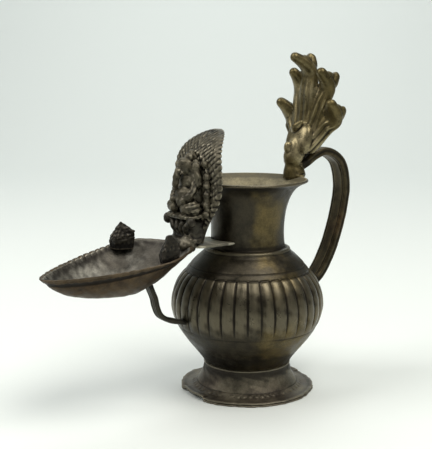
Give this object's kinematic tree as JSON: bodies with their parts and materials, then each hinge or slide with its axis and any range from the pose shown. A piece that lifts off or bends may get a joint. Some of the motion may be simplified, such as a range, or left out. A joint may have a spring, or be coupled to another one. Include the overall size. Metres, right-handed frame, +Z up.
{
  "type": "sukunda oil lamp",
  "caption": "Cast bronze oil lamp: fluted ewer on a flared foot, leaf-shaped lamp dish, plaque with a seated elephant-headed figure, and a strap handle with serpent heads.",
  "frame": {"origin": "on the surface the lamp stands on, under the middle of its overall length and width; the ewer's axis is 28.4 mm from it along +X", "axes": "+Z up, -X along the lamp dish, +X towards the handle, Y across the lamp, which is the same on both sides but for wear"},
  "size_m": [0.2069, 0.0908, 0.2],
  "materials": {
    "vessel_bronze": "dark brown patinated bronze, half gloss, with olive and golden rubbed patches",
    "hood_bronze": "olive-brown patinated bronze, half gloss, rubbed pale on the raised ribs",
    "dish_bronze": "reddish-brown patinated bronze outside, dull mottled grey inside",
    "plaque_bronze": "olive-grey patinated bronze, matt, dark in the hollows"
  },
  "bodies": {
    "root": {"ewer": "vessel_bronze", "foot": "vessel_bronze", "naga_handle": "hood_bronze", "lamp_dish": "dish_bronze", "ganesha_plaque": "plaque_bronze", "neck_bracket": "plaque_bronze", "dish_strut": "hood_bronze"}
  },
  "joints": []
}
